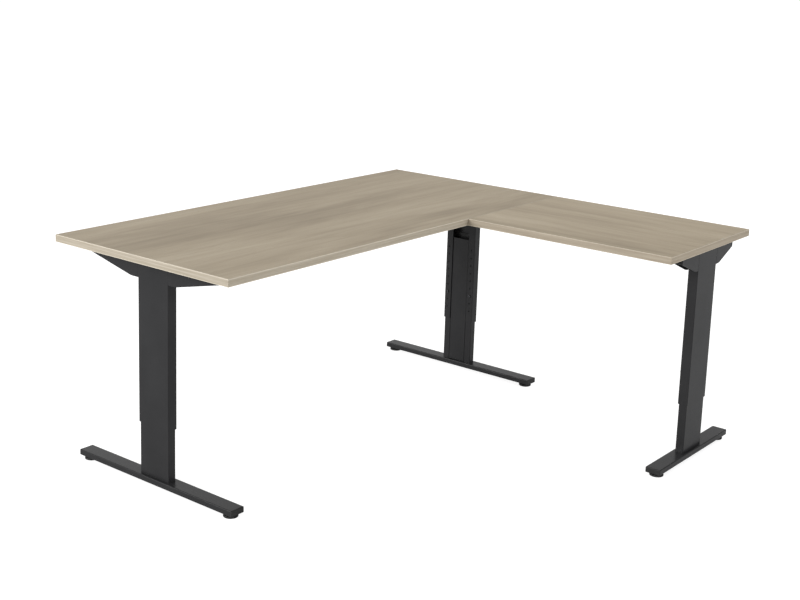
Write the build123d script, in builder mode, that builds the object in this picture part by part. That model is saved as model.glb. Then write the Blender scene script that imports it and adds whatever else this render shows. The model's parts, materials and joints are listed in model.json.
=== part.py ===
from build123d import *
import os
from dataclasses import dataclass

os.makedirs("parts", exist_ok=True)

# L-shaped desk on three telescopic T-legs, in millimetres.
# Origin: centre of the desk's outline on the floor. +Z is up and +X runs along the main top.
# The user sits at -Y of the main top, in the inner corner of the L.

# ---- driving dimensions ----
desk_height = 775.0  # top surface at the height it is set to
board_thickness = 25.0
main_length = 1800.0
main_depth = 800.0
return_width = 600.0
return_length = 800.0
edge_band = 2.0

foot_width = 55.0
foot_height = 20.0
foot_wall = 2.0
foot_corner = 3.0
foot_lift = 12.0  # gap under the foot, held open by the glides
main_foot_length = 724.0
return_foot_length = 518.0
cap_thickness = 5.0
cap_plug = 12.0

column_width = 140.0  # upper profile, across the lips
column_depth = 36.0
column_wall = 2.0
column_corner = 3.0
column_lip = 30.0
lower_column_lip = 28.0
telescope_inset = 3.0  # lower profile's face behind the upper profile's face
upper_column_bottom = 207.0
lower_column_top = 558.0
cover_top = 552.0

setting_pitch = 32.0  # between two height settings
holes_below_bolt = 2
holes_above_bolt = 6
lock_height = 319.0
lock_spread = 55.0  # from the leg's centre to each row of holes
lock_hole_radius = 3.5

main_leg_inset = 70.0  # from a board's end to the leg's centre
return_leg_inset = 30.0
main_leg_y = 385.0

bracket_sheet = 3.0
bracket_depth = 64.0
arm_round = 60.0
main_arm_reach = 332.0
main_arm_tip = 12.0
main_arm_flat = 104.0
main_screw_offsets = (-295.0, -130.0, 130.0, 295.0)
return_arm_reach = 192.0
return_arm_tip = 21.0
return_arm_flat = 90.0
return_screw_offsets = (-170.0, -100.0, 100.0, 170.0)

beam_width = 30.0
beam_height = 50.0
beam_wall = 2.0
beam_top_gap = 5.0  # between the beam and the underside of the top
end_plate = 4.0
end_plate_width = 130.0
end_plate_height = 52.0
beam_bolt_drops = (35.0, 15.0)  # below the end plate's top
beam_tee_spread = 35.0
beam_tee_plate_width = 90.0

coupling_x = (380.0, 760.0)
coupling_width = 60.0
coupling_length = 150.0
coupling_corner = 6.0
coupling_screw_x = (-15.0, 15.0)  # from the plate's centre
coupling_screw_y = (-55.0, -25.0, 25.0, 55.0)

glide_radius = 24.0
glide_thickness = 7.0
glide_from_end = 30.0
running_gap = 0.3

base_bolt_offset = 40.0
base_bolt_y = 3.5
base_bolt_radius = 4.0
base_plate_height = 8.0
insert_radius = 7.0
insert_bore = 4.1

nut_radius = 4.5
nut_flange_radius = 6.5
nut_flange = 0.6
nut_length = 12.0
lock_bolt_radius = 3.0
lock_bolt_length = 14.0
lock_head_radius = 5.0
lock_head_height = 4.5
beam_bolt_radius = 4.0
beam_head_radius = 7.0
beam_head_height = 4.5
beam_nut_height = 6.5
beam_nut_width = 13.0
screw_radius = 2.0
screw_head_radius = 4.5
screw_head_height = 2.5
screw_bite = 15.0

# ---- worked out from the driving dimensions ----
top_underside = desk_height - board_thickness
foot_bottom = foot_lift
foot_top = foot_lift + foot_height
foot_middle = foot_lift + foot_height / 2
half_depth = column_depth / 2
lower_width = column_width - 2 * telescope_inset
lower_depth = column_depth - 2 * telescope_inset
lower_half_depth = lower_depth / 2
plate_underside = top_underside - bracket_sheet
main_leg_x = main_length / 2 - main_leg_inset
return_leg_x = main_length / 2 - return_width / 2
return_leg_y = return_leg_inset - return_length
beam_bottom = top_underside - beam_top_gap - beam_height
beam_middle = beam_bottom + beam_height / 2
end_plate_middle = plate_underside - end_plate_height / 2
base_points = [(side * base_bolt_offset, base_bolt_y) for side in (-1, 1)]
lock_points = [(side * lock_spread, lock_height) for side in (-1, 1)]
lock_rows = [
    (side * lock_spread, lock_height + step * setting_pitch)
    for side in (-1, 1)
    for step in range(-holes_below_bolt, holes_above_bolt + 1)
]
beam_points = [(side * lock_spread, plate_underside - drop) for side in (-1, 1) for drop in beam_bolt_drops]
coupling_screws = [(x + dx, dy) for x in coupling_x for dx in coupling_screw_x for dy in coupling_screw_y]


@dataclass
class Leg:
    """One T-leg. Its plane lies on the floor: X along the foot, Y out to the closed side of the column."""

    name: str
    plane: Plane
    foot_length: float
    arm_reach: float
    arm_tip: float
    arm_flat: float
    screw_offsets: tuple
    ends: tuple  # names of the foot's -X and +X ends


legs = [
    Leg(
        name="left",
        plane=Plane(origin=(-main_leg_x, main_leg_y, 0), x_dir=(0, 1, 0), z_dir=(0, 0, 1)),
        foot_length=main_foot_length,
        arm_reach=main_arm_reach,
        arm_tip=main_arm_tip,
        arm_flat=main_arm_flat,
        screw_offsets=main_screw_offsets,
        ends=("front", "rear"),
    ),
    Leg(
        name="corner",
        plane=Plane(origin=(main_leg_x, main_leg_y, 0), x_dir=(0, -1, 0), z_dir=(0, 0, 1)),
        foot_length=main_foot_length,
        arm_reach=main_arm_reach,
        arm_tip=main_arm_tip,
        arm_flat=main_arm_flat,
        screw_offsets=main_screw_offsets,
        ends=("rear", "front"),
    ),
    Leg(
        name="return",
        plane=Plane(origin=(return_leg_x, return_leg_y, 0), x_dir=(-1, 0, 0), z_dir=(0, 0, 1)),
        foot_length=return_foot_length,
        arm_reach=return_arm_reach,
        arm_tip=return_arm_tip,
        arm_flat=return_arm_flat,
        screw_offsets=return_screw_offsets,
        ends=("right", "left"),
    ),
]


def save(piece, name):
    """Labels a finished piece and writes it as its own file."""
    piece.part.label = name
    export_step(piece.part, f"parts/{name}.step")


def side_plane(leg, outwards):
    """Upright plane seen from the leg's open side, its origin on the floor; +Z points out of that side."""
    origin = leg.plane.from_local_coords((0, outwards, 0))
    return Plane(origin=origin, x_dir=leg.plane.x_dir, z_dir=-leg.plane.y_dir)


def end_plane(leg, along, height):
    """Upright plane square to the foot, at a distance along it."""
    origin = leg.plane.from_local_coords((along, 0, height))
    return Plane(origin=origin, x_dir=leg.plane.y_dir, z_dir=leg.plane.x_dir)


def channel_section(width, depth, lip):
    """Lipped channel, drawn in the current sketch: web at +Y, slot between the lips at -Y."""
    RectangleRounded(width, depth, column_corner)
    RectangleRounded(
        width - 2 * column_wall,
        depth - 2 * column_wall,
        column_corner - column_wall,
        mode=Mode.SUBTRACT,
    )
    with Locations((0, -depth / 2)):
        Rectangle(width - 2 * lip, 3 * column_wall, mode=Mode.SUBTRACT)


# ---- feet ----
def glide_points(leg):
    reach = leg.foot_length / 2 - glide_from_end
    return [(-reach, 0), (reach, 0)]


def make_foot(leg):
    """Flat rectangular tube with holes for the glide inserts and the column's two bolts."""
    access_radius = 8.0
    tube_length = leg.foot_length - 2 * cap_thickness
    with BuildPart() as foot:
        with BuildSketch(end_plane(leg, 0, foot_middle)):
            RectangleRounded(foot_width, foot_height, foot_corner)
            RectangleRounded(
                foot_width - 2 * foot_wall,
                foot_height - 2 * foot_wall,
                foot_corner - foot_wall,
                mode=Mode.SUBTRACT,
            )
        extrude(amount=tube_length / 2, both=True)
        with BuildSketch(leg.plane.offset(foot_bottom)):
            with Locations(glide_points(leg)):
                Circle(insert_radius)
            with Locations(base_points):
                Circle(access_radius)
        extrude(amount=foot_height / 2, mode=Mode.SUBTRACT)
        with BuildSketch(leg.plane.offset(foot_middle)):
            with Locations(base_points):
                Circle(base_bolt_radius + running_gap)
        extrude(amount=foot_height, mode=Mode.SUBTRACT)
    save(foot, f"{leg.name}_foot")


def make_foot_caps(leg):
    """Two plastic end caps, each a rounded plate on a hollow plug."""
    plug_wall = 2.5
    plug_gap = 0.2
    edge_round = 2.2
    inner_width = foot_width - 2 * foot_wall - 2 * plug_gap
    inner_height = foot_height - 2 * foot_wall - 2 * plug_gap
    tube_end = leg.foot_length / 2 - cap_thickness
    with BuildPart() as caps:
        for side in (-1, 1):
            with BuildSketch(end_plane(leg, side * tube_end, foot_middle)):
                RectangleRounded(foot_width, foot_height, foot_corner)
            extrude(amount=side * cap_thickness)
            rim = caps.faces().sort_by(Axis(leg.plane.origin, leg.plane.x_dir * side))[-1].edges()
            fillet(rim, radius=edge_round)
            with BuildSketch(end_plane(leg, side * tube_end, foot_middle)):
                RectangleRounded(inner_width, inner_height, foot_corner - foot_wall)
                Rectangle(inner_width - 2 * plug_wall, inner_height - 2 * plug_wall, mode=Mode.SUBTRACT)
            extrude(amount=-side * cap_plug)
    save(caps, f"{leg.name}_foot_caps")


def make_column_base(leg):
    """Steel bar inside the foot of the column, tapped for the two bolts that come up through the foot."""
    bar_width = 124.0
    bar_depth = 19.0
    bar_chamfer = 1.0
    with BuildPart() as base:
        with BuildSketch(leg.plane.offset(foot_top)):
            with Locations((0, base_bolt_y)):
                Rectangle(bar_width, bar_depth)
            with Locations(base_points):
                Circle(base_bolt_radius, mode=Mode.SUBTRACT)
        extrude(amount=base_plate_height)
        chamfer(base.edges().group_by(Axis.Z)[-1].filter_by(GeomType.LINE), length=bar_chamfer)
    save(base, f"{leg.name}_column_base")


# ---- telescopic columns ----
def make_lower_column(leg):
    """Inner profile that stands on the foot, with a hole in each lip for a locking nut."""
    with BuildPart() as column:
        with BuildSketch(leg.plane.offset(foot_top)):
            channel_section(lower_width, lower_depth, lower_column_lip)
        extrude(amount=lower_column_top - foot_top)
        with BuildSketch(side_plane(leg, -lower_half_depth)):
            with Locations(lock_points):
                Circle(nut_radius)
        extrude(amount=-2 * column_wall, mode=Mode.SUBTRACT)
    save(column, f"{leg.name}_lower_column")


def make_upper_column(leg):
    """Outer profile that slides over the lower one, its lips punched with the rows of height settings."""
    with BuildPart() as column:
        with BuildSketch(leg.plane.offset(upper_column_bottom)):
            channel_section(column_width, column_depth, column_lip)
        extrude(amount=plate_underside - upper_column_bottom)
        with BuildSketch(side_plane(leg, -half_depth)):
            with Locations(lock_rows):
                Circle(lock_hole_radius)
            with Locations(beam_points):
                Circle(beam_bolt_radius + running_gap)
        extrude(amount=-2 * column_wall, mode=Mode.SUBTRACT)
    save(column, f"{leg.name}_upper_column")


def make_cover_panel(leg):
    """Strip that closes the lower profile's slot, hooked behind its lips by two turned edges."""
    face_half = 37.0
    hook_reach = 43.0
    sheet = 1.5
    hook_gap = 0.2
    stand_off = 2.0
    lip_inside = -lower_half_depth + column_wall
    with BuildPart() as cover:
        with BuildSketch(leg.plane.offset(foot_top + stand_off)):
            with Locations((0, -lower_half_depth + sheet / 2)):
                Rectangle(2 * face_half, sheet)
            hook_back = lip_inside + hook_gap + sheet
            for side in (-1, 1):
                with Locations((side * (face_half - sheet / 2), (hook_back - lower_half_depth) / 2)):
                    Rectangle(sheet, hook_back + lower_half_depth)
                with Locations((side * (face_half + hook_reach - sheet) / 2, hook_back - sheet / 2)):
                    Rectangle(hook_reach - face_half + sheet, sheet)
        extrude(amount=cover_top - foot_top - stand_off)
    save(cover, f"{leg.name}_cover_panel")


def make_guide_collar(leg):
    """Plastic collar on top of the lower profile, which keeps the two profiles from rattling."""
    collar_height = 12.0
    collar_wall = 4.0
    tongue_root = 3.0
    tongue = (9.0, 22.0)
    tongue_depth = 10.0
    tongue_x = lower_width / 2 - column_wall - tongue[0] / 2 - running_gap
    with BuildPart() as collar:
        with BuildSketch(leg.plane.offset(lower_column_top)):
            width = column_width - 2 * column_wall - 2 * running_gap
            depth = column_depth - 2 * column_wall - 2 * running_gap
            RectangleRounded(width, depth, column_corner - column_wall)
            Rectangle(width - 2 * collar_wall, depth - 2 * collar_wall, mode=Mode.SUBTRACT)
            with Locations((0, -depth / 2)):
                Rectangle(lower_width - 2 * lower_column_lip, 3 * collar_wall, mode=Mode.SUBTRACT)
        extrude(amount=collar_height)
        with BuildSketch(leg.plane.offset(lower_column_top + tongue_root)):
            with Locations((tongue_x, 0), (-tongue_x, 0)):
                Rectangle(*tongue)
        extrude(amount=-tongue_depth - tongue_root)
    save(collar, f"{leg.name}_guide_collar")


# ---- top brackets ----
def make_bracket(leg):
    """Folded bracket under the top: a long plate with two tapering channel arms beside the column."""
    arm_start = column_width / 2
    arm_bottom = top_underside - bracket_depth
    tip_bottom = top_underside - leg.arm_tip
    screw_points = [(offset, 0) for offset in leg.screw_offsets]
    with BuildPart() as bracket:
        with BuildSketch(leg.plane.offset(plate_underside)):
            Rectangle(2 * leg.arm_reach, column_depth)
        extrude(amount=bracket_sheet)
        with BuildSketch(side_plane(leg, half_depth)) as arm:
            with BuildLine():
                Polyline(
                    (arm_start, plate_underside),
                    (leg.arm_reach, plate_underside),
                    (leg.arm_reach, tip_bottom),
                    (leg.arm_flat, arm_bottom),
                    (arm_start, arm_bottom),
                    close=True,
                )
            make_face()
            fillet(arm.vertices().group_by(Axis.Y)[0].sort_by(Axis.X)[-1], radius=arm_round)
            mirror(about=Plane.YZ)
        extrude(amount=column_depth)
        with BuildSketch(side_plane(leg, half_depth - bracket_sheet)):
            hollow_length = leg.arm_reach - arm_start - 2 * bracket_sheet
            for side in (-1, 1):
                with Locations((side * (leg.arm_reach + arm_start) / 2, plate_underside - bracket_depth)):
                    Rectangle(hollow_length, 2 * bracket_depth)
        extrude(amount=column_depth - 2 * bracket_sheet, mode=Mode.SUBTRACT)
        with BuildSketch(leg.plane.offset(plate_underside)):
            with Locations(screw_points):
                Circle(screw_radius + running_gap)
        extrude(amount=bracket_sheet, mode=Mode.SUBTRACT)
    save(bracket, f"{leg.name}_top_bracket")


# ---- fasteners ----
def make_lock_bolt(leg, side):
    """Socket-head bolt through one hole of the upper profile into the nut behind it."""
    face = side_plane(leg, -half_depth)
    point = (side * lock_spread, lock_height)
    head_round = 0.8
    socket_width = 5.0
    socket_depth = 2.5
    with BuildPart() as bolt:
        with BuildSketch(face):
            with Locations(point):
                Circle(lock_head_radius)
        extrude(amount=lock_head_height)
        rim = bolt.edges().filter_by(GeomType.CIRCLE).sort_by(Axis(face.origin, face.z_dir))[-1]
        fillet(rim, radius=head_round)
        with BuildSketch(face):
            with Locations(point):
                Circle(lock_bolt_radius)
        extrude(amount=-lock_bolt_length)
        with BuildSketch(face.offset(lock_head_height)):
            with Locations(point):
                RegularPolygon(socket_width / 2, 6, major_radius=False)
        extrude(amount=-socket_depth, mode=Mode.SUBTRACT)
    save(bolt, f"{leg.name}_lock_bolt_{leg.ends[(side + 1) // 2]}")


def make_lock_nuts():
    """Rivet nuts set in the lips of the lower profiles."""
    with BuildPart() as nuts:
        for leg in legs:
            face = side_plane(leg, -lower_half_depth)
            with BuildSketch(face):
                with Locations(lock_points):
                    Circle(nut_flange_radius)
                    Circle(lock_bolt_radius + running_gap / 3, mode=Mode.SUBTRACT)
            extrude(amount=nut_flange)
            with BuildSketch(face):
                with Locations(lock_points):
                    Circle(nut_radius)
                    Circle(lock_bolt_radius + running_gap / 3, mode=Mode.SUBTRACT)
            extrude(amount=-nut_length)
    save(nuts, "lock_nuts")


def make_base_bolts():
    """Bolts that hold each column on its foot, driven up through the foot's access holes."""
    head_radius = 6.5
    head_height = 5.0
    head_top = foot_top - foot_wall
    with BuildPart() as bolts:
        for leg in legs:
            with BuildSketch(leg.plane.offset(head_top)):
                with Locations(base_points):
                    Circle(head_radius)
            extrude(amount=-head_height)
            with BuildSketch(leg.plane.offset(head_top)):
                with Locations(base_points):
                    Circle(base_bolt_radius)
            extrude(amount=foot_wall + base_plate_height)
    save(bolts, "base_bolts")


def beam_bolt_sites():
    """(plane under the bolt's head, points on it, thickness clamped) for every beam bolt."""
    sites = [(side_plane(leg, -half_depth - end_plate), beam_points, end_plate + column_wall) for leg in legs]
    tee_y = main_leg_y - beam_width / 2 - end_plate
    tee_face = Plane(origin=(return_leg_x, tee_y, 0), x_dir=(1, 0, 0), z_dir=(0, -1, 0))
    tee_points = [(side * beam_tee_spread, beam_middle) for side in (-1, 1)]
    return sites + [(tee_face, tee_points, end_plate + beam_wall)]


def make_beam_bolts():
    thread_beyond_nut = 1.5
    with BuildPart() as bolts:
        for face, points, clamped in beam_bolt_sites():
            with BuildSketch(face):
                with Locations(points):
                    Circle(beam_head_radius)
            extrude(amount=beam_head_height)
            with BuildSketch(face):
                with Locations(points):
                    Circle(beam_bolt_radius)
            extrude(amount=-(clamped + beam_nut_height + thread_beyond_nut))
    save(bolts, "beam_bolts")


def make_beam_nuts():
    with BuildPart() as nuts:
        for face, points, clamped in beam_bolt_sites():
            with BuildSketch(face.offset(-clamped)):
                with Locations(points):
                    RegularPolygon(beam_nut_width / 2, 6, major_radius=False)
                    Circle(beam_bolt_radius, mode=Mode.SUBTRACT)
            extrude(amount=-beam_nut_height)
    save(nuts, "beam_nuts")


# ---- crossbeams ----
def beam_section():
    """Upright rectangular tube, drawn in the current sketch."""
    RectangleRounded(beam_width, beam_height, column_corner)
    Rectangle(beam_width - 2 * beam_wall, beam_height - 2 * beam_wall, mode=Mode.SUBTRACT)


def end_plate_section():
    """Plate across a column's lips, drawn in a sketch on the leg's open side."""
    with Locations((0, end_plate_middle)):
        Rectangle(end_plate_width, end_plate_height)
    with Locations(beam_points):
        Circle(beam_bolt_radius + running_gap, mode=Mode.SUBTRACT)


def make_main_crossbeam():
    """Tube between the left and corner columns, drilled for the return beam's tee."""
    tube_half = main_leg_x - half_depth - end_plate
    tee_centre = (return_leg_x, main_leg_y - beam_width / 2, beam_middle)
    with BuildPart() as beam:
        with BuildSketch(Plane(origin=(0, main_leg_y, beam_middle), x_dir=(0, 1, 0), z_dir=(1, 0, 0))):
            beam_section()
        extrude(amount=tube_half, both=True)
        for leg in legs[:2]:
            with BuildSketch(side_plane(leg, -half_depth)):
                end_plate_section()
            extrude(amount=end_plate)
        with BuildSketch(Plane(origin=tee_centre, x_dir=(1, 0, 0), z_dir=(0, -1, 0))):
            with Locations((-beam_tee_spread, 0), (beam_tee_spread, 0)):
                Circle(beam_bolt_radius + running_gap)
        extrude(amount=-2 * beam_wall, mode=Mode.SUBTRACT)
    save(beam, "main_crossbeam")


def make_return_crossbeam():
    """Tube from the return leg's column to the side of the main crossbeam, under the joint of the tops."""
    start_y = return_leg_y + half_depth + end_plate
    tee_y = main_leg_y - beam_width / 2
    start = (return_leg_x, start_y, beam_middle)
    tee_centre = (return_leg_x, tee_y, beam_middle)
    with BuildPart() as beam:
        with BuildSketch(Plane(origin=start, x_dir=(-1, 0, 0), z_dir=(0, 1, 0))):
            beam_section()
        extrude(amount=tee_y - end_plate - start_y)
        with BuildSketch(side_plane(legs[2], -half_depth)):
            end_plate_section()
        extrude(amount=end_plate)
        with BuildSketch(Plane(origin=tee_centre, x_dir=(1, 0, 0), z_dir=(0, -1, 0))):
            Rectangle(beam_tee_plate_width, beam_height)
            with Locations((-beam_tee_spread, 0), (beam_tee_spread, 0)):
                Circle(beam_bolt_radius + running_gap, mode=Mode.SUBTRACT)
        extrude(amount=end_plate)
    save(beam, "return_crossbeam")


# ---- tops ----
def make_board(name, centre, size, bracket_legs):
    """Chipboard core of a top, with pilot holes in its underside for the screws."""
    with BuildPart() as board:
        with BuildSketch(Plane.XY.offset(top_underside)):
            with Locations(centre):
                Rectangle(size[0] - 2 * edge_band, size[1] - 2 * edge_band)
        extrude(amount=board_thickness)
        for leg in bracket_legs:
            with BuildSketch(leg.plane.offset(top_underside)):
                with Locations([(offset, 0) for offset in leg.screw_offsets]):
                    Circle(screw_radius)
            extrude(amount=screw_bite, mode=Mode.SUBTRACT)
        with BuildSketch(Plane.XY.offset(top_underside)):
            with Locations([p for p in coupling_screws if abs(p[1] - centre[1]) < size[1] / 2]):
                Circle(screw_radius)
        extrude(amount=screw_bite, mode=Mode.SUBTRACT)
    save(board, name)


def make_edge_band(name, centre, size):
    """Plastic band glued round a top's four edges, its outer corners eased."""
    with BuildPart() as band:
        with BuildSketch(Plane.XY.offset(top_underside)):
            with Locations(centre):
                Rectangle(*size)
                Rectangle(size[0] - 2 * edge_band, size[1] - 2 * edge_band, mode=Mode.SUBTRACT)
        extrude(amount=board_thickness)
        for level in (0, -1):
            rim = band.faces().filter_by(Axis.Z).sort_by(Axis.Z)[level].outer_wire().edges()
            fillet(rim, radius=edge_band / 2)
    save(band, name)


def make_coupling_plates():
    """Flat plates under the joint between the two tops."""
    with BuildPart() as plates:
        with BuildSketch(Plane.XY.offset(plate_underside)):
            with Locations([(x, 0) for x in coupling_x]):
                RectangleRounded(coupling_width, coupling_length, coupling_corner)
            with Locations(coupling_screws):
                Circle(screw_radius + running_gap, mode=Mode.SUBTRACT)
        extrude(amount=bracket_sheet)
    save(plates, "coupling_plates")


def make_screws(name, sites):
    """Pan-head wood screws driven up into the tops. Each site is a plane on the floor and points on it."""
    with BuildPart() as screws:
        for plane, points in sites:
            with BuildSketch(plane.offset(plate_underside)):
                with Locations(points):
                    Circle(screw_head_radius)
            extrude(amount=-screw_head_height)
            with BuildSketch(plane.offset(plate_underside)):
                with Locations(points):
                    Circle(screw_radius)
            extrude(amount=bracket_sheet + screw_bite)
    save(screws, name)


# ---- levelling glides ----
def make_glide(leg, end):
    """Round pad with a hub that rests against the foot, moulded on a threaded stud."""
    point = glide_points(leg)[end]
    name = f"{leg.name}_glide_{leg.ends[end]}"
    hub_radius = 12.0
    stud_radius = 4.0
    stud_seat = 4.0
    stud_gap = 1.0
    stud_top = foot_top - foot_wall - stud_gap
    stud_chamfer = 0.8
    pad_top_round = 3.0
    pad_rim_round = 1.5
    with BuildPart() as pad:
        with BuildSketch(leg.plane):
            with Locations(point):
                Circle(glide_radius)
        extrude(amount=glide_thickness)
        fillet(pad.edges().group_by(Axis.Z)[-1], radius=pad_top_round)
        fillet(pad.edges().group_by(Axis.Z)[0], radius=pad_rim_round)
        with BuildSketch(leg.plane.offset(glide_thickness)):
            with Locations(point):
                Circle(hub_radius)
        extrude(amount=foot_bottom - glide_thickness)
        with BuildSketch(leg.plane.offset(stud_seat)):
            with Locations(point):
                Circle(stud_radius)
        extrude(amount=foot_bottom, mode=Mode.SUBTRACT)
    save(pad, f"{name}_pad")
    with BuildPart() as stud:
        with BuildSketch(leg.plane.offset(stud_seat)):
            with Locations(point):
                Circle(stud_radius)
        extrude(amount=stud_top - stud_seat)
        chamfer(stud.edges().group_by(Axis.Z)[-1], length=stud_chamfer)
    save(stud, f"{name}_stud")


def make_glide_inserts():
    """Threaded inserts in the underside of the feet."""
    insert_height = 14.0
    collar_radius = 9.0
    collar_height = 2.0
    with BuildPart() as inserts:
        for leg in legs:
            with BuildSketch(leg.plane.offset(foot_bottom)):
                with Locations(glide_points(leg)):
                    Circle(insert_radius)
                    Circle(insert_bore, mode=Mode.SUBTRACT)
            extrude(amount=insert_height)
            with BuildSketch(leg.plane.offset(foot_bottom + foot_wall)):
                with Locations(glide_points(leg)):
                    Circle(collar_radius)
                    Circle(insert_bore, mode=Mode.SUBTRACT)
            extrude(amount=collar_height)
    save(inserts, "glide_inserts")


for leg in legs:
    make_foot(leg)
    make_foot_caps(leg)
    make_column_base(leg)
    make_lower_column(leg)
    make_cover_panel(leg)
    make_guide_collar(leg)
    make_upper_column(leg)
    make_bracket(leg)
    for end in (0, 1):
        make_glide(leg, end)
        make_lock_bolt(leg, 2 * end - 1)

main_centre = (0, main_depth / 2)
return_centre = (return_leg_x, -return_length / 2)
make_board("main_top", main_centre, (main_length, main_depth), legs[:2])
make_board("return_top", return_centre, (return_width, return_length), legs[2:])
make_edge_band("main_edge_band", main_centre, (main_length, main_depth))
make_edge_band("return_edge_band", return_centre, (return_width, return_length))
make_main_crossbeam()
make_return_crossbeam()
make_coupling_plates()
make_base_bolts()
make_lock_nuts()
make_glide_inserts()
make_beam_bolts()
make_beam_nuts()
make_screws("bracket_screws", [(leg.plane, [(offset, 0) for offset in leg.screw_offsets]) for leg in legs])
make_screws("coupling_screws", [(Plane.XY, coupling_screws)])
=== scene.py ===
import json
import math

import bmesh
import bpy
from mathutils import Matrix, Quaternion, Vector


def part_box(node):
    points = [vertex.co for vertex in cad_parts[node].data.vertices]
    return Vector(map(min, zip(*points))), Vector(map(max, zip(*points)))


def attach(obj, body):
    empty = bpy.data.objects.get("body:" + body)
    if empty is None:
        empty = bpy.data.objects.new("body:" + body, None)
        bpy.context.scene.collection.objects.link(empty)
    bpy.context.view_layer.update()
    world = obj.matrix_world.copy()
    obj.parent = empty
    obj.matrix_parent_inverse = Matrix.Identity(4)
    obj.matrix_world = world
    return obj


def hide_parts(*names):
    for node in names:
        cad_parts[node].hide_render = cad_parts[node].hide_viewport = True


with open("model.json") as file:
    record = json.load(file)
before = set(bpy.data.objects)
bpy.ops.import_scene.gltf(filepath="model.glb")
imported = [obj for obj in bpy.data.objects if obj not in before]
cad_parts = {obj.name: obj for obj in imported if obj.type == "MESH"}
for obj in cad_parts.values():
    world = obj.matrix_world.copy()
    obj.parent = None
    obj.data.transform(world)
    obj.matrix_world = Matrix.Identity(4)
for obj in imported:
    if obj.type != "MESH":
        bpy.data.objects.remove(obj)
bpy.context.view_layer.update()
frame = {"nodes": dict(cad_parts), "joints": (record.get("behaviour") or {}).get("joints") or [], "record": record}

# L-shaped desk on three telescopic T-legs, in metres, in the CAD's own frame:
# +X along the main top, +Z up, the user at -Y of the main top.
# The CAD nodes give the boards, tubes and sheet metal. Small parts that show their make up
# close (glides, bolts, screws) are replaced by finer meshes, and the brackets get weld beads.

TURN = 2 * math.pi
MM = 0.001
NODES = frame["nodes"]
# the way that each column's open side faces
OPEN_SIDES = {"left": Vector((1, 0, 0)), "corner": Vector((-1, 0, 0)), "return": Vector((0, 1, 0))}


def new_object(name, data):
    """An object in the scene that holds a mesh, a lamp or a camera."""
    made = bpy.data.objects.new(name, data)
    bpy.context.scene.collection.objects.link(made)
    return made


def grey(level):
    return (level, level, level)


# ---- node helpers ----
def new_material(name):
    """A material with an empty node tree but for its shader and output."""
    material = bpy.data.materials.new(name)
    material.use_nodes = True
    tree = material.node_tree
    tree.nodes.clear()
    output = tree.nodes.new("ShaderNodeOutputMaterial")
    shader = tree.nodes.new("ShaderNodeBsdfPrincipled")
    tree.links.new(shader.outputs["BSDF"], output.inputs["Surface"])
    return material, tree, shader


def place(tree, scale=(1.0, 1.0, 1.0), offset=(0.0, 0.0, 0.0)):
    """Object coordinates, which are the row frame's metres, stretched and moved."""
    coordinates = tree.nodes.new("ShaderNodeTexCoord")
    mapping = tree.nodes.new("ShaderNodeMapping")
    mapping.inputs["Scale"].default_value = scale
    mapping.inputs["Location"].default_value = offset
    tree.links.new(coordinates.outputs["Object"], mapping.inputs["Vector"])
    return mapping.outputs["Vector"]


def noise(tree, vector, scale, detail=3.0, roughness=0.5, distortion=0.0):
    """Cloudy noise from 0 to 1; scale is in cells per unit of the vector."""
    node = tree.nodes.new("ShaderNodeTexNoise")
    node.inputs["Scale"].default_value = scale
    node.inputs["Detail"].default_value = detail
    node.inputs["Roughness"].default_value = roughness
    node.inputs["Distortion"].default_value = distortion
    tree.links.new(vector, node.inputs["Vector"])
    return node.outputs["Fac"]


def ramp(tree, factor, stops):
    """Colour ramp; each stop is (position, (r, g, b))."""
    node = tree.nodes.new("ShaderNodeValToRGB")
    elements = node.color_ramp.elements
    while len(elements) < len(stops):
        elements.new(0.5)
    for element, (position, colour) in zip(elements, stops):
        element.position = position
        element.color = (*colour, 1.0)
    tree.links.new(factor, node.inputs["Fac"])
    return node.outputs["Color"]


def spread(tree, factor, low, high, from_low=0.0, from_high=1.0):
    """Maps a factor onto a range of values."""
    node = tree.nodes.new("ShaderNodeMapRange")
    node.inputs["From Min"].default_value = from_low
    node.inputs["From Max"].default_value = from_high
    node.inputs["To Min"].default_value = low
    node.inputs["To Max"].default_value = high
    tree.links.new(factor, node.inputs["Value"])
    return node.outputs["Result"]


def mix(tree, mode, factor, first, second):
    """Blends two colours; factor is a number or a socket, and so are the colours."""
    node = tree.nodes.new("ShaderNodeMix")
    node.data_type = "RGBA"
    node.blend_type = mode
    inputs = {s.identifier: s for s in node.inputs}
    for key, value in (("Factor_Float", factor), ("A_Color", first), ("B_Color", second)):
        if isinstance(value, bpy.types.NodeSocket):
            tree.links.new(value, inputs[key])
        elif isinstance(value, tuple):
            inputs[key].default_value = (*value, 1.0)
        else:
            inputs[key].default_value = value
    return {s.identifier: s for s in node.outputs}["Result_Color"]


def maths(tree, operation, first, second):
    """One Math node; each value is a number or a socket."""
    node = tree.nodes.new("ShaderNodeMath")
    node.operation = operation
    for socket, value in zip(node.inputs, (first, second)):
        if isinstance(value, bpy.types.NodeSocket):
            tree.links.new(value, socket)
        else:
            socket.default_value = value
    return node.outputs["Value"]


def weighted(tree, *parts):
    """Sum of sockets, each given with its weight."""
    total, *others = [maths(tree, "MULTIPLY", socket, weight) for socket, weight in parts]
    for other in others:
        total = maths(tree, "ADD", total, other)
    return total


def bump(tree, shader, height, strength, distance):
    """Surface relief; distance is the height in metres that the factor spans."""
    node = tree.nodes.new("ShaderNodeBump")
    node.inputs["Strength"].default_value = strength
    node.inputs["Distance"].default_value = distance
    tree.links.new(height, node.inputs["Height"])
    tree.links.new(node.outputs["Normal"], shader.inputs["Normal"])


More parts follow.
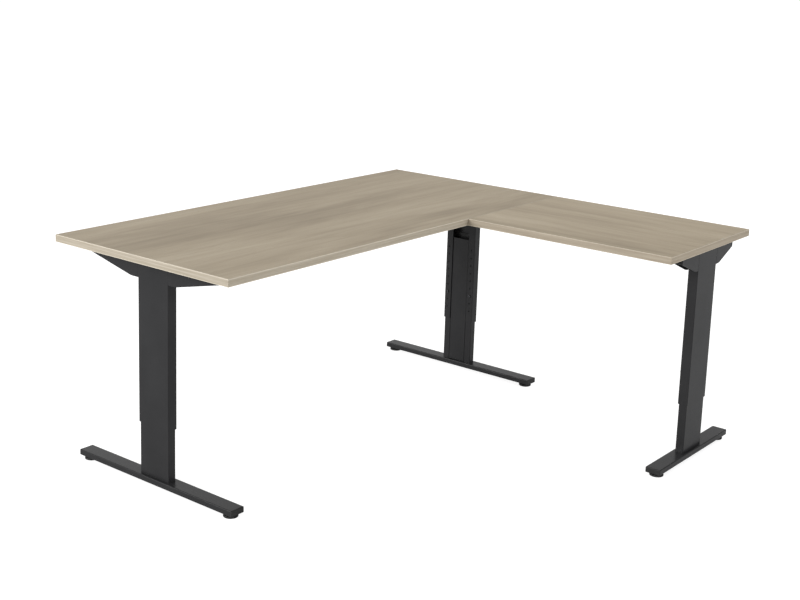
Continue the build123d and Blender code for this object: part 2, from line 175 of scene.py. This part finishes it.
# ---- materials ----
OAK_DARK = (0.282, 0.230, 0.160)
OAK_MIDDLE = (0.368, 0.305, 0.216)
OAK_LIGHT = (0.440, 0.372, 0.273)
PORE = (0.200, 0.158, 0.110)
TRIM_RADIUS = 0.0022  # to which the bands' edges are rounded
TRIM_BLUR = 0.0004  # over which the print gives way to the core there
FACE_NEAR = 0.0003  # from the board's face: the core colour starts to fade here,
FACE_AT = 0.0001  # and is gone here, so that none shows on the face itself


def oak_decor(name, along_x, shade, offset):
    """Grey-beige oak melamine: broad soft streaks, narrow grain lines and short pores along the board."""
    material, tree, shader = new_material(name)

    def stretched(along, across):
        """Coordinates with this many noise cells in a metre along and across the board."""
        scale = (along, across, across) if along_x else (across, along, across)
        return place(tree, scale, offset)

    clouds = noise(tree, stretched(0.9, 5.5), 1.0, 3.0, 0.55, 0.6)
    streaks = noise(tree, stretched(2.2, 34.0), 1.0, 5.0, 0.62, 0.5)
    lines = noise(tree, stretched(5.0, 210.0), 1.0, 4.0, 0.6, 0.2)
    pores = noise(tree, stretched(26.0, 900.0), 1.0, 2.0, 0.5)
    figure = weighted(tree, (clouds, 0.50), (streaks, 0.36), (lines, 0.14))
    tones = [tuple(shade * channel for channel in tone) for tone in (OAK_DARK, OAK_MIDDLE, OAK_LIGHT)]
    wood = ramp(tree, figure, list(zip((0.36, 0.50, 0.66), tones)))
    pore_mask = spread(tree, pores, 0.0, 0.55, 0.62, 0.72)
    colour = mix(tree, "MIX", pore_mask, wood, PORE)
    tree.links.new(colour, shader.inputs["Base Color"])
    tree.links.new(spread(tree, lines, 0.50, 0.64), shader.inputs["Roughness"])
    shader.inputs["Specular IOR Level"].default_value = 0.30
    relief = maths(tree, "SUBTRACT", weighted(tree, (lines, 0.4)), pore_mask)
    bump(tree, shader, relief, 0.25, 0.0002)
    return material


def edge_band(name, node, core, light, dark, offset):
    """Thin plastic band printed as oak, with its paler core showing where its two edges are trimmed round."""
    material, tree, shader = new_material(name)
    low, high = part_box(node)
    half = (high[2] - low[2]) / 2
    streaks = noise(tree, place(tree, (2.5, 2.5, 130.0), offset), 1.0, 4.0, 0.6, 0.4)
    lines = noise(tree, place(tree, (14.0, 14.0, 620.0), offset), 1.0, 2.0, 0.5)
    figure = weighted(tree, (streaks, 0.7), (lines, 0.3))
    print_colour = ramp(tree, figure, [(0.34, dark), (0.66, light)])
    axes = tree.nodes.new("ShaderNodeSeparateXYZ")
    tree.links.new(place(tree, (1.0, 1.0, 1.0), (0.0, 0.0, -low[2] - half)), axes.inputs["Vector"])
    from_middle = maths(tree, "ABSOLUTE", axes.outputs["Z"], 0.0)
    rounded = spread(tree, from_middle, 0.0, 1.0, half - TRIM_RADIUS - TRIM_BLUR, half - TRIM_RADIUS)
    off_face = spread(tree, from_middle, 1.0, 0.0, half - FACE_NEAR, half - FACE_AT)
    trimmed = maths(tree, "MULTIPLY", rounded, off_face)
    tree.links.new(mix(tree, "MIX", trimmed, print_colour, core), shader.inputs["Base Color"])
    tree.links.new(spread(tree, lines, 0.42, 0.54), shader.inputs["Roughness"])
    shader.inputs["Specular IOR Level"].default_value = 0.4
    bump(tree, shader, lines, 0.2, 0.00015)
    return material


def powder_coat(name, dark, light, roughness):
    """Black powder coat: orange-peel relief, fine texture, faint cloudy shade and uneven sheen."""
    material, tree, shader = new_material(name)
    clouds = noise(tree, place(tree), 6.0, 4.0, 0.6)
    grain = noise(tree, place(tree), 1400.0, 2.0, 0.6)
    peel = noise(tree, place(tree), 420.0, 2.0, 0.5)
    figure = weighted(tree, (clouds, 0.7), (grain, 0.3))
    tree.links.new(ramp(tree, figure, [(0.35, dark), (0.68, light)]), shader.inputs["Base Color"])
    tree.links.new(spread(tree, peel, roughness - 0.05, roughness + 0.07), shader.inputs["Roughness"])
    shader.inputs["Specular IOR Level"].default_value = 0.18
    bump(tree, shader, weighted(tree, (peel, 0.7), (grain, 0.3)), 0.18, 0.0002)
    return material


def moulded_plastic(name, dark, light):
    """Black moulded plastic with spark-eroded grain, which varies its gloss too."""
    material, tree, shader = new_material(name)
    grain = noise(tree, place(tree), 1900.0, 3.0, 0.65)
    clouds = noise(tree, place(tree), 35.0, 3.0, 0.5)
    tree.links.new(ramp(tree, clouds, [(0.35, dark), (0.65, light)]), shader.inputs["Base Color"])
    tree.links.new(spread(tree, grain, 0.38, 0.56), shader.inputs["Roughness"])
    shader.inputs["Specular IOR Level"].default_value = 0.28
    bump(tree, shader, grain, 0.22, 0.00012)
    return material


def bare_metal(name, dark, light, smoothest, roughest, lines):
    """Plated or blackened steel with patchy tone and drawn lines, in cells per metre along each axis."""
    material, tree, shader = new_material(name)
    patches = noise(tree, place(tree), 240.0, 3.0, 0.55, 0.8)
    drawn = noise(tree, place(tree, lines), 1.0, 2.0, 0.5)
    tree.links.new(ramp(tree, patches, [(0.35, dark), (0.65, light)]), shader.inputs["Base Color"])
    tree.links.new(spread(tree, patches, smoothest, roughest), shader.inputs["Roughness"])
    shader.inputs["Metallic"].default_value = 1.0
    bump(tree, shader, drawn, 0.12, 0.00005)
    return material


MATERIALS = {
    "oak_main": oak_decor("oak_decor_main", along_x=True, shade=0.88, offset=(0.0, 0.0, 0.0)),
    "oak_return": oak_decor("oak_decor_return", along_x=False, shade=0.95, offset=(3.7, 1.3, 0.0)),
    "band_main": edge_band(
        "oak_band_main",
        "main_edge_band",
        core=(0.510, 0.458, 0.370),
        light=(0.405, 0.360, 0.292),
        dark=(0.270, 0.230, 0.168),
        offset=(0.0, 0.0, 0.0),
    ),
    # the return's band has the same print and core as the main band, drawn about a fifth darker all over: painted
    # shade for the partial shadow that it stands in
    "band_return_painted_shade": edge_band(
        "oak_band_return_painted_shade",
        "return_edge_band",
        core=(0.400, 0.350, 0.270),
        light=(0.325, 0.278, 0.212),
        dark=(0.225, 0.184, 0.132),
        offset=(5.1, 2.3, 0.0),
    ),
    "coat": powder_coat(
        "black_powder_coat",
        dark=(0.0150, 0.0150, 0.0159),
        light=(0.0215, 0.0215, 0.0226),
        roughness=0.29,
    ),
    "plastic": moulded_plastic("black_plastic", dark=grey(0.010), light=grey(0.017)),
    "bolt": bare_metal(
        "black_bolt_steel",
        dark=(0.035, 0.035, 0.038),
        light=(0.075, 0.075, 0.080),
        smoothest=0.30,
        roughest=0.46,
        lines=(900.0, 900.0, 90.0),
    ),
    "zinc": bare_metal(
        "zinc_plated_steel",
        dark=(0.50, 0.51, 0.53),
        light=(0.70, 0.71, 0.72),
        smoothest=0.24,
        roughest=0.40,
        lines=(900.0, 900.0, 60.0),
    ),
}

SLOT_MATERIALS = {
    "black_powder_coat": "coat",
    "black_plastic": "plastic",
    "black_bolt_steel": "bolt",
    "zinc_plated_steel": "zinc",
}
NODE_MATERIALS = {
    "main_top": "oak_main",
    "return_top": "oak_return",
    "main_edge_band": "band_main",
    "return_edge_band": "band_return_painted_shade",
}


def finish_cad_nodes():
    """Gives each CAD node its procedural material by its slot, or by its own name on the tops."""
    slots = {row["node"]: row["material_slot"] for row in frame["record"]["subparts"]}
    for name, node in NODES.items():
        key = NODE_MATERIALS.get(name) or SLOT_MATERIALS[slots[name]]
        for index in range(len(node.material_slots)):
            node.material_slots[index].material = MATERIALS[key]


finish_cad_nodes()


# ---- turned and threaded pieces, in millimetres along their own axis ----
SHARP_ANGLE = math.radians(34)


def hexagon(across_flats):
    """Outline of a hexagon, with corners at the start of every sixth of a turn."""

    def radius(angle, _height):
        step = TURN / 6
        return across_flats / 2 / math.cos(angle % step - step / 2)

    return radius


def cross(length, width):
    """Outline of a cross recess."""

    def radius(angle, _height):
        off = abs((angle + TURN / 8) % (TURN / 4) - TURN / 8)
        if off < math.atan2(width, length):
            return length / 2 / math.cos(off)
        return width / 2 / math.sin(off)

    return radius


def fluted(outer, depth, count):
    """Round rim with shallow finger flutes."""
    return lambda angle, _height: outer - depth * (0.5 - 0.5 * math.cos(count * angle)) ** 3


def helix(crest, depth, pitch):
    """Right-hand V thread: the radius falls from crest to root once a pitch."""

    def radius(angle, height):
        phase = (height / pitch - angle / TURN) % 1.0
        return crest - depth * (1.0 - abs(2.0 * phase - 1.0))

    return radius


def threaded(low, high, crest, depth, pitch, rows=6):
    """Rings of a thread between two heights, with a plain lead-in at each end."""
    root = crest - depth
    count = round((high - low) / pitch * rows)
    wound = [(low + (high - low) * i / count, helix(crest, depth, pitch)) for i in range(1, count)]
    return [(low, root)] + wound + [(high, root)]


def arc(centre, radius, start, end, steps=5):
    """Rings of a rounded edge; centre is (radius, height) and the angles are in degrees from level."""
    angles = [math.radians(start + (end - start) * i / steps) for i in range(steps + 1)]
    return [(centre[1] + radius * math.sin(a), centre[0] + radius * math.cos(a)) for a in angles]


def turned(bm, where, rings, segments):
    """Lofts rings of (height, radius) in millimetres along a matrix's Z and closes both ends."""
    rows = []
    for height, radius in rings:
        row = []
        for index in range(segments):
            angle = TURN * index / segments
            reach = radius(angle, height) if callable(radius) else radius
            point = Vector((reach * math.cos(angle), reach * math.sin(angle), height)) * MM
            row.append(bm.verts.new(where @ point))
        rows.append(row)
    for low, high in zip(rows, rows[1:]):
        for index in range(segments):
            after = (index + 1) % segments
            bm.faces.new((low[index], low[after], high[after], high[index]))
    bm.faces.new(list(reversed(rows[0])))
    bm.faces.new(rows[-1])


def add_piece(name, bm, material, body, node=None):
    """Turns a bmesh into a visible piece, which may stand for a CAD node."""
    mesh = bpy.data.meshes.new(name)
    bm.to_mesh(mesh)
    bm.free()
    mesh.shade_smooth()
    mesh.set_sharp_from_angle(angle=SHARP_ANGLE)
    mesh.materials.append(MATERIALS[material])
    piece = new_object(name, mesh)
    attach(piece, body)
    if node:
        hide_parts(node)


def middle(node):
    """Centre of a CAD node's box."""
    low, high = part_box(node)
    return (Vector(low) + Vector(high)) / 2


def island_boxes(node):
    """Lowest and highest corner of each separate solid in a CAD node."""
    bm = bmesh.new()
    bm.from_mesh(NODES[node].data)
    bmesh.ops.remove_doubles(bm, verts=bm.verts, dist=0.01 * MM)
    unseen = set(bm.verts)
    boxes = []
    for first in bm.verts:
        if first not in unseen:
            continue
        unseen.discard(first)
        island, queue = [first], [first]
        while queue:
            for edge in queue.pop().link_edges:
                for vert in edge.verts:
                    if vert in unseen:
                        unseen.discard(vert)
                        island.append(vert)
                        queue.append(vert)
        spans = [[vert.co[axis] for vert in island] for axis in range(3)]
        boxes.append((Vector([min(span) for span in spans]), Vector([max(span) for span in spans])))
    bm.free()
    return boxes


def make_glide(body):
    """Moulded pad with a fluted rim and a hexagon to grip, on an M8 stud."""
    centre = middle(f"{body}_pad")
    where = Matrix.Translation((centre.x, centre.y, 0.0))
    low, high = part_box(f"{body}_pad")
    outer = (high[0] - low[0]) / 2 / MM
    hub_top = high[2] / MM
    stud_low, stud_high = (corner[2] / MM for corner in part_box(f"{body}_stud"))
    stud_radius = 4.0
    stud_gap = 0.05
    thread_depth = 0.70
    pitch = 1.25
    pad_top = 7.0
    sole_recess = 0.8
    sole_round = 1.5
    top_round = 3.0
    flute_depth = 0.7
    flutes = 24
    grip = hexagon(20.4)
    grip_top = hexagon(19.2)
    rings = [(sole_recess, outer - 9.5), (sole_recess, outer - 9.0), (0.0, outer - 8.2), (0.0, outer - 1.8)]
    rim = arc((outer - sole_round, sole_round), sole_round, -75, 0)
    rim += arc((outer - top_round, pad_top - top_round), top_round, 0, 78)
    rings += [(height, fluted(radius, flute_depth, flutes)) for height, radius in rim]
    rings += [(pad_top, outer - 3.6), (pad_top + 0.3, 12.0), (pad_top + 0.9, grip)]
    rings += [(hub_top - 0.6, grip), (hub_top, grip_top), (hub_top, stud_radius + 0.9)]
    rings += [(hub_top - 0.6, stud_radius + stud_gap), (stud_low, stud_radius + stud_gap)]
    bm = bmesh.new()
    turned(bm, where, rings, 96)
    add_piece(f"{body}_pad_moulding", bm, "plastic", body, f"{body}_pad")

    thread = threaded(stud_low + 0.6, stud_high - 0.8, stud_radius, thread_depth, pitch)
    rings = [(stud_low, stud_radius - 0.9), *thread, (stud_high, stud_radius - 1.3)]
    bm = bmesh.new()
    turned(bm, where, rings, 24)
    add_piece(f"{body}_stud_thread", bm, "zinc", body, f"{body}_stud")


def make_lock_bolt(joint):
    """M6 socket-head bolt; its head faces the way that its joint unscrews it."""
    body = joint["child"]
    node = body.removesuffix("_body")
    out = Vector(joint["axis"]).normalized()
    low, high = (Vector(corner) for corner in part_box(node))
    length = abs((high - low).dot(out)) / MM
    head_radius = 5.0
    head = 4.5
    head_round = 0.8
    chamfer = 0.3
    socket = hexagon(5.0)
    socket_mouth = hexagon(5.5)
    socket_depth = 2.5
    neck = 2.95
    thread_radius = 3.0
    thread_depth = 0.58
    pitch = 1.0
    shank_end = head - length
    seat = (low + high) / 2 + out * (length / 2 - head) * MM
    where = Matrix.Translation(seat) @ out.to_track_quat("Z", "Y").to_matrix().to_4x4()
    rings = [(shank_end, 1.9)] + threaded(shank_end + 0.7, -1.2, thread_radius, thread_depth, pitch)
    rings += [(-1.0, neck), (0.0, neck), (0.0, head_radius - chamfer), (chamfer, head_radius)]
    rings += arc((head_radius - head_round, head - head_round), head_round, 0, 90)
    rings += [(head, socket_mouth), (head - chamfer, socket)]
    rings += [(head - socket_depth, socket), (head - socket_depth - 0.7, 0.4)]
    bm = bmesh.new()
    turned(bm, where, rings, 36)
    add_piece(f"{node}_machined", bm, "bolt", body, node)


def make_wood_screws(node):
    """Pan-head wood screws with a cross recess, driven upwards."""
    head = 2.5
    head_radius = 4.5
    head_round = 1.9
    chamfer = 0.3
    neck = 1.9
    thread_radius = 2.0
    thread_depth = 0.55
    pitch = 1.8
    recess = [(0.0, cross(5.0, 1.6)), (-0.25, cross(4.6, 1.25))]
    recess += [(-1.5, cross(2.6, 0.9)), (-1.9, cross(0.8, 0.5))]
    bm = bmesh.new()
    for low, high in island_boxes(node):
        centre = (low + high) / 2
        length = (high.z - low.z) / MM
        where = Matrix.Translation((centre.x, centre.y, low.z)) @ Matrix.Rotation(math.pi, 4, "X")
        rings = [(-length, 0.15), (-length + 3.0, 1.3)]
        rings += threaded(-length + 3.2, -head - 1.6, thread_radius, thread_depth, pitch)[1:]
        rings += [(-head - 1.2, neck), (-head, neck)]
        rings += [(-head, head_radius - 0.2), (-head + chamfer, head_radius)]
        rings += arc((head_radius - head_round, -head_round), head_round, 0, 80)
        rings += recess
        turned(bm, where, rings, 32)
    add_piece(f"{node}_pan_head", bm, "zinc", "tabletop", node)


def make_bracket_welds(leg, out):
    """Rippled weld beads in the two corners between a column's closed face and its bracket."""
    low, high = (Vector(corner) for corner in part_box(f"{leg}_upper_column"))
    across = Vector((-out.y, out.x, 0.0))
    half_depth, half_width = (abs((high - low).dot(axis)) / 2 for axis in (out, across))
    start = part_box(f"{leg}_top_bracket")[0][2] / MM
    end = high.z / MM
    bead = 1.9
    ripple = 0.16
    ripple_pitch = 2.2
    ring_gap = 0.55
    inset = 0.9
    steps = round((end - start) / ring_gap)
    heights = [start + (end - start) * i / steps for i in range(steps + 1)]
    rings = [(h, bead - ripple * abs(math.sin(math.pi * h / ripple_pitch))) for h in heights]
    closed_face = (low + high) / 2 - out * (half_depth - bead * MM)
    bm = bmesh.new()
    for side in (-1, 1):
        seat = closed_face + across * side * (half_width - inset * MM)
        turned(bm, Matrix.Translation((seat.x, seat.y, 0.0)), rings, 16)
    add_piece(f"{leg}_bracket_welds", bm, "coat", "tabletop")


for joint in frame["joints"]:
    if joint["name"].endswith("_unscrew"):
        make_lock_bolt(joint)
    elif "_glide_" in joint["name"]:
        make_glide(joint["child"])
for screws in ("bracket_screws", "coupling_screws"):
    make_wood_screws(screws)
for leg_name, open_side in OPEN_SIDES.items():
    make_bracket_welds(leg_name, open_side)


# ---- stage ----
DESK_MIDDLE = (0.0, 0.0, 0.4)


def make_floor():
    """Pale floor that glows, which keeps the desk's shadow faint; the camera sees more glow than the desk."""
    mesh = bpy.data.meshes.new("floor")
    half = 60.0
    corners = [(-half, -half, 0), (half, -half, 0), (half, half, 0), (-half, half, 0)]
    mesh.from_pydata(corners, [], [(0, 1, 2, 3)])
    floor = new_object("floor", mesh)
    material, tree, shader = new_material("pale_floor")
    tone = ramp(tree, noise(tree, place(tree), 3.0), [(0.3, grey(0.39)), (0.7, grey(0.41))])
    tree.links.new(tone, shader.inputs["Base Color"])
    shader.inputs["Roughness"].default_value = 0.9
    shader.inputs["Specular IOR Level"].default_value = 0.1
    shader.inputs["Emission Color"].default_value = (1.0, 1.0, 1.0, 1.0)
    path = tree.nodes.new("ShaderNodeLightPath")
    glow = spread(tree, path.outputs["Is Camera Ray"], 0.25, 0.80)
    tree.links.new(glow, shader.inputs["Emission Strength"])
    mesh.materials.append(material)


def make_world():
    """Studio light, dimmer overhead and from the front right; to the camera the backdrop is white."""
    world = bpy.data.worlds.new("studio")
    world.use_nodes = True
    tree = world.node_tree
    background = tree.nodes["Background"]
    direction = tree.nodes.new("ShaderNodeTexCoord").outputs["Generated"]
    axes = tree.nodes.new("ShaderNodeSeparateXYZ")
    tree.links.new(direction, axes.inputs["Vector"])
    tone = ramp(tree, axes.outputs["Z"], [(0.0, grey(1.0)), (0.45, grey(0.86)), (1.0, grey(0.42))])
    rear_left = maths(tree, "SUBTRACT", axes.outputs["Y"], axes.outputs["X"])
    side = spread(tree, rear_left, 0.40, 1.15, -1.2, 0.2)
    tone = mix(tree, "MULTIPLY", 1.0, tone, side)
    path = tree.nodes.new("ShaderNodeLightPath")
    shown = mix(tree, "MIX", path.outputs["Is Camera Ray"], tone, grey(1.0))
    tree.links.new(shown, background.inputs["Color"])
    background.inputs["Strength"].default_value = 1.0
    bpy.context.scene.world = world


def make_area_light(name, position, size, power, glossy=True):
    """Soft square lamp aimed at the desk; without gloss it brightens surfaces but isn't mirrored in them."""
    data = bpy.data.lights.new(name, "AREA")
    data.shape = "SQUARE"
    data.size = size
    data.energy = power
    lamp = new_object(name, data)
    lamp.location = position
    lamp.visible_glossy = glossy
    lamp.rotation_mode = "QUATERNION"
    lamp.rotation_quaternion = (Vector(DESK_MIDDLE) - Vector(position)).to_track_quat("-Z", "Y")


def make_camera():
    """Three-quarter view from the outer front left, a little above the tops."""
    azimuth = math.radians(-50.92)
    elevation = math.radians(11.68)
    roll = math.radians(1.66)
    back = Vector(
        (
            math.sin(azimuth) * math.cos(elevation),
            -math.cos(azimuth) * math.cos(elevation),
            math.sin(elevation),
        )
    )
    data = bpy.data.cameras.new("camera")
    data.lens = 59.2
    data.sensor_width = 36.0
    data.shift_x = 0.0375
    data.shift_y = -0.1187
    data.dof.use_dof = False
    camera = new_object("camera", data)
    camera.location = (-3.503, -2.634, 1.768)
    camera.rotation_mode = "QUATERNION"
    camera.rotation_quaternion = (-back).to_track_quat("-Z", "Y") @ Quaternion((0, 0, 1), roll)
    bpy.context.scene.camera = camera


make_floor()
make_world()
make_area_light("key", (-12.5, 6.1, 5.1), size=6.0, power=1900.0)
make_area_light("front", (1.5, -12.0, 3.0), size=5.0, power=800.0, glossy=False)
make_area_light("side", (12.0, -1.0, 3.0), size=5.0, power=900.0, glossy=False)
make_camera()
bpy.context.scene.view_settings.view_transform = "Standard"
